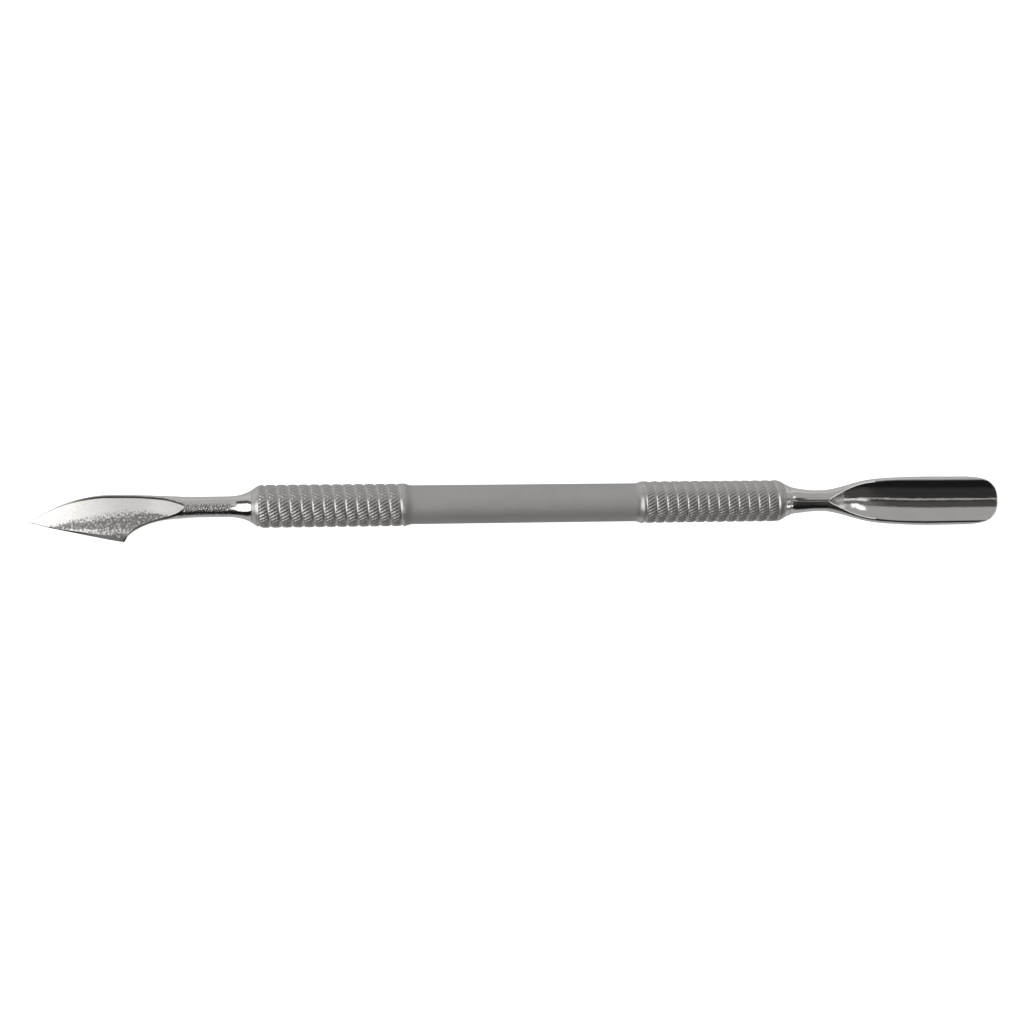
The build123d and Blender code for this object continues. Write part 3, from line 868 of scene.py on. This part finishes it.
# ------------------------------------------------------------------- stage
# softboxes: around from, to, softness; along from, to, softness (degrees); brightness
SOFTBOXES = (
    (11.0, 27.0, 2.5, 14.0, 35.0, 2.5, 0.42), (8.0, 27.0, 2.5, -62.0, -9.0, 2.5, 0.62),
    (-12.5, -3.0, 2.0, 14.0, 36.0, 3.0, 0.24), (-8.0, -2.0, 1.0, 34.0, 62.0, 2.0, 0.42),
    (-3.5, 8.0, 1.5, 52.0, 72.0, 3.0, 0.90), (-60.0, 0.0, 4.0, 71.0, 80.0, 1.5, 0.50),
    (-84.0, -62.0, 4.0, 60.0, 76.0, 3.0, 1.2), (-31.0, -2.0, 3.0, 70.0, 82.0, 1.5, 0.55),
)


def backdrop_light(along, around):
    """Grey reflector on the +Y side, dark flag on the other, with faint glows between."""
    flag = around.step(over=(-58.0, -42.0),
                       to=(0.012, along.step(over=(10.0, 30.0), to=(0.075, 0.035))))
    corner = along.step(over=(28.0, 34.0)) * around.step(over=(0.0, 8.0))
    flag = corner.mix(low=flag, high=0.075)
    reflector = along.step(over=(-30.0, 40.0), to=(0.56, 0.42))
    gap = (around.band(over=(32.0, 60.0), soft=4.0)
           * along.step(over=(-21.0, -15.0), to=(1.0, 0.0)))
    reflector = reflector * gap.mix(low=1.0, high=0.17)
    light = around.step(over=(24.0, 31.0)).mix(low=flag, high=reflector)
    near = (around.band(over=(-36.0, 26.0), soft=4.0)
            * along.step(over=(2.0, 14.0), to=(1.0, 0.0)))
    near = near * along.step(over=(-23.0, -16.0), to=(0.35, 1.0))
    near_glow, far_glow, far_glow_below = 0.050, 0.10, 0.030
    light = light + near * near_glow
    far = (around.band(over=(9.0, 25.0), soft=2.0) * far_glow
           + around.band(over=(-55.0, -9.0), soft=4.0) * far_glow_below)
    return light + far * along.step(over=(43.0, 50.0))


def throat_lamp(along, around):
    """Mask of the slanting oval lamp over the pusher's throat."""
    centre_along, centre_around, slant = 58.3, 38.0, 1.7
    half_width, half_height = 5.6, 9.5
    wide = (along - centre_along) / half_width
    tall = ((around - centre_around) + (along - centre_along) * slant) / half_height
    return (wide * wide + tall * tall).step(over=(0.70, 1.30), to=(1.0, 0.0))


def knife_softbox(along, around):
    """Softbox beyond the knife; its near side fades out differently round the bar."""
    off = combine("ABSOLUTE", around + 19.0)        # degrees from the box's middle
    start = (off.step(over=(5.0, 21.0), to=(-7.0, -14.5))
             - around.step(over=(-44.0, -36.0), to=(3.5, 0.0)))
    start = start - off.step(over=(21.0, 46.0), to=(0.0, 6.0))
    width = off.step(over=(5.0, 21.0), to=(4.5, 5.0))
    fade = combine("DIVIDE", start - along, width, clamp=True).step(over=(0.0, 1.0))
    box = around.band(over=(-50.0, 27.0), soft=4.0) * along.step(over=(-79.0, -73.0))
    brightness = 1.35
    return (fade * brightness + along.step(over=(-35.0, -30.0), to=(0.75, 0.0))) * box


def studio_world():
    """Soft studio, laid out in degrees: along, towards +X, and around the bar, towards +Y."""
    world = bpy.data.worlds.new("studio")
    bpy.context.scene.world = world
    tree = empty_tree(world)
    x, y, z = add_node(tree, "ShaderNodeTexCoord", output="Generated").axes()
    degrees = 180 / PI
    along = combine("ARCSINE", x) * degrees
    around = combine("ARCTAN2", y, z) * degrees
    light = backdrop_light(along, around)
    for around_from, around_to, around_soft, from_x, to_x, soft_x, value in SOFTBOXES:
        box = (around.band(over=(around_from, around_to), soft=around_soft)
               * along.band(over=(from_x, to_x), soft=soft_x))
        light = box.mix(low=light, high=value)
    light = throat_lamp(along, around).mix(low=light, high=1.6)
    light = combine("MAXIMUM", light, knife_softbox(along, around))
    seen = add_node(tree, "ShaderNodeLightPath", output="Is Camera Ray")
    light = seen.mix(low=light, high=1.0)
    warm_tint = (1.0, 0.985, 0.972)
    color = add_node(tree, "ShaderNodeCombineColor",
                     enumerate([light * share for share in warm_tint]))
    set_output(add_node(tree, "ShaderNodeBackground", {0: color}), "ShaderNodeOutputWorld")


def floor_material():
    """Pale to the camera, a dim gradient to the metal, and clear from below."""
    material = bpy.data.materials.new("pale_floor")
    tree = empty_tree(material)
    seen = add_node(tree, "ShaderNodeLightPath", output="Is Camera Ray")
    position = add_node(tree, "ShaderNodeNewGeometry", output="Position")
    backfacing = Signal(tree, position.socket.node.outputs["Backfacing"])
    grain = position.noise(scale=40.0, detail=2.0, roughness=0.5)
    y = position.axes()[1]
    reflected = (y.step(over=(-0.060, -0.012), to=(0.15, 0.46))
                 + y.step(over=(-0.004, 0.030), to=(0.0, 0.18)))
    pale, grain_share = 0.90, 0.01
    glow = seen.mix(low=reflected, high=pale + grain * grain_share)
    emission = add_node(tree, "ShaderNodeEmission",
                        {"Color": (1.0, 0.995, 0.99, 1), "Strength": glow})
    color = seen.mix_color(low=(0.0, 0.0, 0.0, 1), high=(0.55, 0.55, 0.55, 1))
    diffuse = add_node(tree, "ShaderNodeBsdfDiffuse", {"Color": color})
    surface = add_node(tree, "ShaderNodeAddShader", {0: emission, 1: diffuse})
    clear = add_node(tree, "ShaderNodeBsdfTransparent")
    shader = add_node(tree, "ShaderNodeMixShader", {0: backfacing, 1: surface, 2: clear})
    set_output(shader, "ShaderNodeOutputMaterial")
    return material


def studio_floor():
    half, z = 3.0, cad_lo.z - 0.00002
    corners = [(-half, -half, z), (half, -half, z), (half, half, z), (-half, half, z)]
    mesh = bpy.data.meshes.new("floor")
    mesh.from_pydata(corners, [], [(0, 1, 2, 3)])
    floor = bpy.data.objects.new("floor", mesh)
    bpy.context.scene.collection.objects.link(floor)
    mesh.materials.append(floor_material())


def key_light():
    """Soft key from above the knife's side, aimed at the origin and absent from reflections."""
    light = bpy.data.lights.new("key", "AREA")
    light.shape = "RECTANGLE"
    light.size, light.size_y = 0.5, 0.35
    light.energy = 4.6
    key = bpy.data.objects.new("key", light)
    bpy.context.scene.collection.objects.link(key)
    key.location = (-0.60, 0.09, 0.46)
    key.rotation_mode = "QUATERNION"
    key.rotation_quaternion = (-key.location).to_track_quat("-Z", "Y")
    key.visible_camera = False
    key.visible_glossy = False


def add_camera():
    """Above the tool, nearer the knife end, looking down and turned towards the pusher."""
    lens = bpy.data.cameras.new("camera")
    lens.lens, lens.sensor_width = 50.0, 36.0
    lens.clip_start, lens.clip_end = 0.005, 10.0
    camera = bpy.data.objects.new("camera", lens)
    bpy.context.scene.collection.objects.link(camera)
    yaw, roll = math.radians(8.6), math.radians(0.6813)
    forward = Vector((math.sin(yaw), 0, -math.cos(yaw)))
    level_right = Vector((math.cos(yaw), 0, math.sin(yaw)))
    level_up = Vector((0, 1, 0))
    right = math.cos(roll) * level_right - math.sin(roll) * level_up
    up = math.sin(roll) * level_right + math.cos(roll) * level_up
    matrix = Matrix((right, up, -forward)).transposed().to_4x4()
    matrix.translation = Vector((-0.031849, -0.0011750, 0.196821))
    camera.matrix_world = matrix
    bpy.context.scene.camera = camera


build_tool()
studio_world()
studio_floor()
key_light()
add_camera()
bpy.context.scene.view_settings.view_transform = "Standard"
